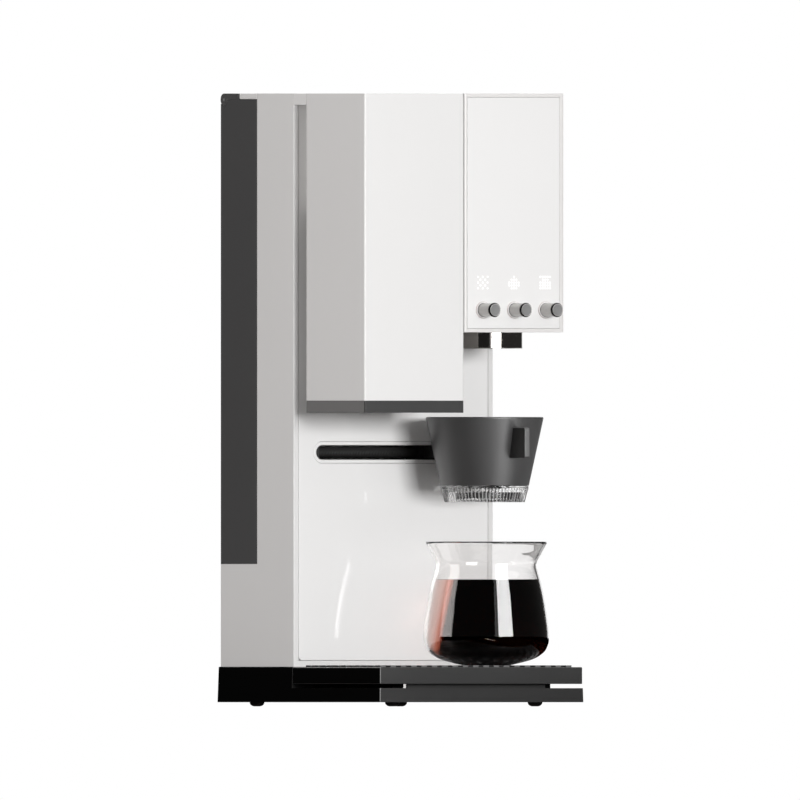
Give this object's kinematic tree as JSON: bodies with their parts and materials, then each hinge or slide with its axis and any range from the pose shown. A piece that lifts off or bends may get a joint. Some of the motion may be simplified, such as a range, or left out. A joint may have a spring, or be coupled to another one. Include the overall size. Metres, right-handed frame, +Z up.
{
  "type": "pour-over coffee maker",
  "caption": "Tall pour-over coffee maker: rear column with water tank, grinder and brew head modules in front, dripper on a sliding arm, glass carafe on a weighing base.",
  "frame": {"origin": "centre of the bounding box in plan, on the plane of the foot soles", "axes": "+X to the right seen from the front, -Y towards the front, +Z up"},
  "size_m": [0.1744, 0.2146, 0.44],
  "materials": {
    "white_metal": "satin",
    "gloss_white": "glossy",
    "bright_aluminium": "fine brushed",
    "black_plastic": "satin",
    "black_metal": "satin",
    "dark_satin_plastic": "satin",
    "smoked_plastic": "glossy, see-through",
    "clear_plastic": "glossy, see-through",
    "bean_plastic": "glossy, see-through",
    "clear_glass": "glossy, see-through",
    "rubber_black": "matt",
    "hose_silicone": "satin",
    "steel": "ground",
    "magnet_nickel": "polished",
    "polished_nozzle": "polished",
    "grey_plastic": "satin",
    "circuit_board": "satin"
  },
  "bodies": {
    "machine": {"base_housing": "black_plastic", "bean_hopper": "bean_plastic", "bottom_plate": "black_plastic", "brew_hose": "hose_silicone", "burr_chamber": "grey_plastic", "carriage_motor": "black_metal", "case_screws": "steel", "column_shell": "white_metal", "control_board": "circuit_board", "display_panel": "gloss_white", "feet": "rubber_black", "front_panel": "gloss_white", "grinder_housing": "white_metal", "grinder_motor": "black_metal", "grinder_trim": "black_plastic", "grounds_chute": "grey_plastic", "guide_rod": "steel", "head_housing": "white_metal", "heater": "bright_aluminium", "knob_collars": "bright_aluminium", "load_cell": "steel", "module_bridge": "bright_aluminium", "nozzle": "polished_nozzle", "power_inlet": "black_plastic", "power_supply": "circuit_board", "pump": "black_metal", "rail_brackets": "steel", "scale_platform": "black_plastic", "shower_plate": "steel", "slot_bezel": "bright_aluminium", "supply_hose": "hose_silicone", "tank_socket": "black_plastic", "upper_burr": "steel"},
    "carriage": {"carriage_block": "black_plastic", "dripper_arm": "black_plastic", "dock_magnets": "magnet_nickel"},
    "lead_screw": {"carriage_screw": "steel"},
    "dripper": {"dripper_sleeve": "dark_satin_plastic", "filter_basket": "clear_plastic", "drip_outlet": "dark_satin_plastic"},
    "tray": {"drip_tray": "black_plastic"},
    "grille": {"drip_grille": "black_metal"},
    "carafe": {"carafe": "clear_glass"},
    "tank": {"water_tank": "smoked_plastic", "tank_valve": "black_plastic", "tank_cap": "white_metal", "tank_lid_pin": "steel"},
    "tank_lid": {"tank_lid": "black_plastic"},
    "hopper_lid": {"hopper_lid": "white_metal"},
    "burr_drive": {"lower_burr": "steel", "burr_shaft": "steel", "drive_gear": "steel"},
    "pinion": {"motor_pinion": "steel"},
    "left_button": {"left_spindle": "steel"},
    "left_dial": {"left_knob": "bright_aluminium"},
    "centre_button": {"centre_spindle": "steel"},
    "centre_dial": {"centre_knob": "bright_aluminium"},
    "right_button": {"right_spindle": "steel"},
    "right_dial": {"right_knob": "bright_aluminium"}
  },
  "joints": [
    {"name": "left_press", "type": "slide", "parent": "machine", "child": "left_button", "axis": [0, 1, 0], "range_m": [0, 0.001], "stiffness_N_per_m": 1500},
    {"name": "left_turn", "type": "hinge", "parent": "left_button", "child": "left_dial", "pos_m": [0.0159, -0.0841, 0.2846], "axis": [0, -1, 0], "continuous": true},
    {"name": "centre_press", "type": "slide", "parent": "machine", "child": "centre_button", "axis": [0, 1, 0], "range_m": [0, 0.001], "stiffness_N_per_m": 1500},
    {"name": "centre_turn", "type": "hinge", "parent": "centre_button", "child": "centre_dial", "pos_m": [0.0426, -0.0841, 0.2846], "axis": [0, -1, 0], "continuous": true},
    {"name": "right_press", "type": "slide", "parent": "machine", "child": "right_button", "axis": [0, 1, 0], "range_m": [0, 0.001], "stiffness_N_per_m": 1500},
    {"name": "right_turn", "type": "hinge", "parent": "right_button", "child": "right_dial", "pos_m": [0.0693, -0.0841, 0.2846], "axis": [0, -1, 0], "continuous": true},
    {"name": "carriage_slide", "type": "slide", "parent": "machine", "child": "carriage", "axis": [1, 0, 0], "range_m": [-0.08525, 0]},
    {"name": "carriage_screw_turn", "type": "hinge", "parent": "machine", "child": "lead_screw", "pos_m": [0, 0.0224, 0.1823], "axis": [1, 0, 0], "continuous": true},
    {"name": "dripper_pull", "type": "slide", "parent": "carriage", "child": "dripper", "axis": [0, -1, 0], "range_m": [0, 0.12]},
    {"name": "tray_lift", "type": "slide", "parent": "machine", "child": "tray", "axis": [0, 0, 1], "range_m": [0, 0.012]},
    {"name": "grille_lift", "type": "slide", "parent": "tray", "child": "grille", "axis": [0, 0, 1], "range_m": [0, 0.012]},
    {"name": "carafe_pull", "type": "slide", "parent": "grille", "child": "carafe", "axis": [0, -1, 0], "range_m": [0, 0.13]},
    {"name": "tank_lift", "type": "slide", "parent": "machine", "child": "tank", "axis": [0, 0, 1], "range_m": [0, 0.03]},
    {"name": "tank_lid_hinge", "type": "hinge", "parent": "tank", "child": "tank_lid", "pos_m": [0, 0.1015, 0.4356], "axis": [-1, 0, 0], "range_deg": [0, 100]},
    {"name": "hopper_lid_hinge", "type": "hinge", "parent": "machine", "child": "hopper_lid", "pos_m": [-0.04263, -0.0191, 0.4385], "axis": [-1, 0, 0], "range_deg": [0, 95]},
    {"name": "burr_turn", "type": "hinge", "parent": "machine", "child": "burr_drive", "pos_m": [-0.04263, -0.04535, 0.3], "axis": [0, 0, 1], "continuous": true},
    {"name": "pinion_turn", "type": "hinge", "parent": "machine", "child": "pinion", "pos_m": [-0.04263, -0.02715, 0.29], "axis": [0, 0, 1], "continuous": true}
  ],
  "couplings": [
    {"joint": "carriage_screw_turn", "follows": "carriage_slide", "rad_per_m": -785.4},
    {"joint": "pinion_turn", "follows": "burr_turn", "ratio": -2.5}
  ]
}
